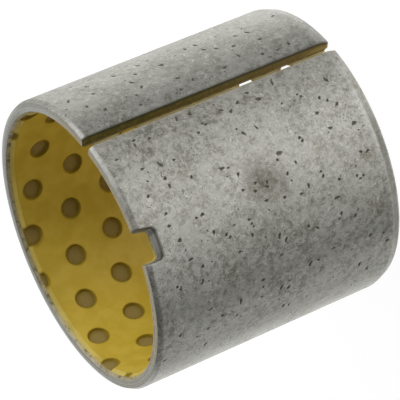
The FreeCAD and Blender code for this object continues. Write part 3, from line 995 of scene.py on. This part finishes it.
def build_liner():
    inner = Strip(BORE_RADIUS)
    places = pocket_places()
    points, triangles = liner_triangles(inner, places)
    nearest, way = to_nearest(points, places)
    pocket = nearest - POCKET_RADIUS
    to_split = inner.split_distance(points)
    to_notch = inner.notch_distance(points)
    drop = rounding(np.maximum(pocket, 0), LIP_ROUNDING)
    drop += rounding(to_split, LINER_SIDE_ROUNDING)
    drop += rounding(inner.end_distance(points), LINER_END_ROUNDING)
    drop += rounding(to_notch, LINER_SIDE_ROUNDING)
    deepest = LINER_ROUNDING_LIMIT * (BRONZE_INNER_RADIUS - BORE_RADIUS)
    drop = np.clip(drop, 0, deepest) - LIP_HEIGHT * bell(pocket - 0.16, 0.1)
    past_edge = np.zeros(points.shape)
    past_edge[:, 0] = LINER_PAST_EDGE * bell(points[:, 0] - inner.start, 0.25)
    top = rolled(points - past_edge, BORE_RADIUS + drop, BORE_RADIUS)
    on_pocket = np.abs(pocket) < 0.01
    moved = liner_back(inner, points, to_notch < ON_SIDE, on_pocket, way) - past_edge
    back = rolled(moved, BRONZE_INNER_RADIUS, BORE_RADIUS)

    edges = np.concatenate([triangles[:, [0, 1]], triangles[:, [1, 2]], triangles[:, [2, 0]]]).tolist()
    seen = {tuple(edge) for edge in edges}
    count = len(points)
    faces = [tuple(reversed(triangle)) for triangle in triangles.tolist()]
    slots = [BORE_SLOT] * len(faces)
    for first, last in edges:
        if (last, first) in seen:
            continue
        faces.append((first, last, last + count, first + count))
        if on_pocket[first] and on_pocket[last]:
            slots.append(POCKET_WALL_SLOT)
        elif to_split[first] < ON_SIDE and to_split[last] < ON_SIDE:
            slots.append(SPLIT_LINER_SLOT)
        else:
            slots.append(CUT_SLOT)
    faces += [tuple(k + count for k in triangle) for triangle in triangles.tolist()]
    slots += [SPLIT_LINER_SLOT] * len(triangles)
    materials = [
        acetal_face("acetal_bore", (0.52, 0.377, 0.038), (0.585, 0.43, 0.056)),
        acetal_face("acetal_cut", (0.53, 0.41, 0.085), (0.62, 0.49, 0.12), 0.7, 0.2),
        # The pocket walls are painted dark brown, as shade in the pockets.
        acetal_face("acetal_pocket_wall", (0.27, 0.185, 0.02), (0.33, 0.23, 0.03), 0.9, 0.2),
        acetal_face("acetal_split", (0.42, 0.34, 0.15), (0.5, 0.41, 0.2), 0.8, 0.2),
    ]
    # Painted shade next to each pocket and down its wall.
    marks = {"pocket_edge": np.tile(0.8 * bell(np.maximum(pocket, 0), 0.11), 2)}
    return make_piece("acetal_lining", np.concatenate([top, back]), faces, slots, materials, marks)


steel = build_steel()
bronze = build_bronze()
liner = build_liner()
for piece, node, slot in (
    (steel, "steel_backing", "steel"),
    (bronze, "bronze_interlayer", "bronze"),
    (liner, "acetal_liner", "acetal"),
):
    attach(piece, "root")
    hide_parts(node)


# Stage, light and camera

TARGET = Vector((0, 0, LENGTH / 2)) * MM
CAMERA_PLACE = Vector((54.38, -323.76, 162.89)) * MM
CAMERA_RIGHT = Vector((-0.31961, -0.43185, -0.84342))
CAMERA_UP = Vector((0.93511, 0.0, -0.35436))
CAMERA_BACK = Vector((0.15303, -0.90195, 0.40382))
CAMERA_LENS = 252.0
CAMERA_SENSOR = 36.0


def white_for_the_camera(tree, plain, white):
    """Mixes two shaders so that camera, glossy and transmission rays see the white one."""
    path = add(tree, "ShaderNodeLightPath", {})
    seen = path["Is Camera Ray"]
    for ray in ("Is Glossy Ray", "Is Transmission Ray"):
        seen = add(tree, "ShaderNodeMath", {0: seen, 1: path[ray]}, operation="MAXIMUM")[0]
    return add(tree, "ShaderNodeMixShader", {0: seen, 1: plain, 2: white})[0]


# The studio round the bush: a white backdrop behind it, as the camera sees it, and a dimmer room in front.
# Strengths of the light that falls on the bush from all round, and of the room that steel mirrors.
WORLD_LIGHT = 0.25
ROOM_MIRRORED = 0.05
# How nearly a direction points away from the camera, as a cosine, where the room ends and the backdrop
# begins.
ROOM_ENDS = -0.25
BACKDROP_BEGINS = 0.55


def build_world():
    world = bpy.data.worlds.new("studio")
    bpy.context.scene.world = world
    world.use_nodes = True
    tree = world.node_tree
    tree.nodes.clear()
    place = add(tree, "ShaderNodeTexCoord", {})["Generated"]
    facing = add(tree, "ShaderNodeVectorMath", {0: place, 1: -CAMERA_BACK}, operation="DOT_PRODUCT")["Value"]
    mirrored = add(tree, "ShaderNodeMapRange", {
        "Value": facing, "From Min": ROOM_ENDS, "From Max": BACKDROP_BEGINS, "To Min": ROOM_MIRRORED,
        "To Max": 1.0,
    }, interpolation_type="SMOOTHSTEP")["Result"]
    camera_ray = add(tree, "ShaderNodeLightPath", {})["Is Camera Ray"]
    strength = add(tree, "ShaderNodeMath", {0: camera_ray, 1: mirrored}, operation="MAXIMUM")[0]
    plain, white = [
        add(tree, "ShaderNodeBackground", {"Color": (1, 1, 1, 1), "Strength": value})[0]
        for value in (WORLD_LIGHT, strength)
    ]
    add(tree, "ShaderNodeOutputWorld", {"Surface": white_for_the_camera(tree, plain, white)})


FLOOR_HALF_WIDTH = 3000
# A hair below the end face, so that the two don't fight for the same place.
FLOOR_HEIGHT = -0.02


def build_floor():
    mesh = bpy.data.meshes.new("floor")
    half = FLOOR_HALF_WIDTH * MM
    low = FLOOR_HEIGHT * MM
    corners = [(-half, -half, low), (half, -half, low), (half, half, low), (-half, half, low)]
    mesh.from_pydata(corners, [], [(0, 1, 2, 3)])
    floor = new_object("floor", mesh)
    material = bpy.data.materials.new("floor_paper")
    material.use_nodes = True
    tree = material.node_tree
    tree.nodes.clear()
    paper = add(tree, "ShaderNodeBsdfDiffuse", {"Color": (0.8, 0.8, 0.8, 1)})[0]
    glow = add(tree, "ShaderNodeEmission", {"Strength": 0.95})[0]
    shadowed = add(tree, "ShaderNodeBsdfDiffuse", {"Color": (0.12, 0.12, 0.12, 1)})[0]
    lit = add(tree, "ShaderNodeAddShader", {0: glow, 1: shadowed})[0]
    front = white_for_the_camera(tree, paper, lit)
    # From below it is see-through, so that the lead-in end can be looked at.
    below = add(tree, "ShaderNodeNewGeometry", {})["Backfacing"]
    clear = add(tree, "ShaderNodeBsdfTransparent", {})[0]
    surface = add(tree, "ShaderNodeMixShader", {0: below, 1: front, 2: clear})[0]
    add(tree, "ShaderNodeOutputMaterial", {"Surface": surface})
    mesh.materials.append(material)
    # A light table: lamps under it shine through, and steel sees the white world instead of it.
    floor.visible_shadow = False
    floor.visible_glossy = False


# Soft round lamps, all at one distance and of one width, in metres: name, direction from the bush as seen by
# the camera (right, up, towards it), and power in watts.
LAMP_DISTANCE = 0.5
LAMP_WIDTH = 0.3
LAMPS = (
    ("lamp_right_top", (0.6, 0.6, 0.6), 0.68),
    ("lamp_right_front", (0.6, 0.3, 0.75), 0.69),
    ("lamp_right", (0.7, 0.0, 0.7), 0.58),
    ("lamp_right_side", (0.8, 0.5, 0.0), 0.93),
    ("lamp_right_behind", (0.9, -0.1, -0.4), 0.77),
    ("lamp_left_top", (-0.6, 0.6, 0.6), 1.0),
    ("lamp_left_above", (-0.7, 0.7, 0.0), 0.65),
    ("lamp_left_side", (-0.9, -0.3, 0.3), 0.33),
    ("lamp_back_top", (0.0, 0.7, -0.7), 0.73),
    ("lamp_back_low", (0.3, -0.5, -0.8), 0.34),
    ("lamp_back_bottom", (0.0, -0.7, -0.7), 0.36),
)


def build_lamps():
    for name, (right, up, towards), power in LAMPS:
        way = (CAMERA_RIGHT * right + CAMERA_UP * up + CAMERA_BACK * towards).normalized()
        light = bpy.data.lights.new(name, "AREA")
        light.shape = "DISK"
        light.size = LAMP_WIDTH
        light.energy = power
        lamp = new_object(name, light)
        lamp.location = TARGET + way * LAMP_DISTANCE
        lamp.rotation_euler = way.to_track_quat("Z", "Y").to_euler()
        lamp.visible_camera = False


def build_camera():
    data = bpy.data.cameras.new("camera")
    data.sensor_width = CAMERA_SENSOR
    data.lens = CAMERA_LENS
    data.clip_start = 0.01
    camera = new_object("camera", data)
    axes = Matrix((CAMERA_RIGHT, CAMERA_UP, CAMERA_BACK)).transposed().to_4x4()
    camera.matrix_world = Matrix.Translation(CAMERA_PLACE) @ axes
    bpy.context.scene.camera = camera


build_world()
build_floor()
build_lamps()
build_camera()
bpy.context.scene.view_settings.view_transform = "Standard"
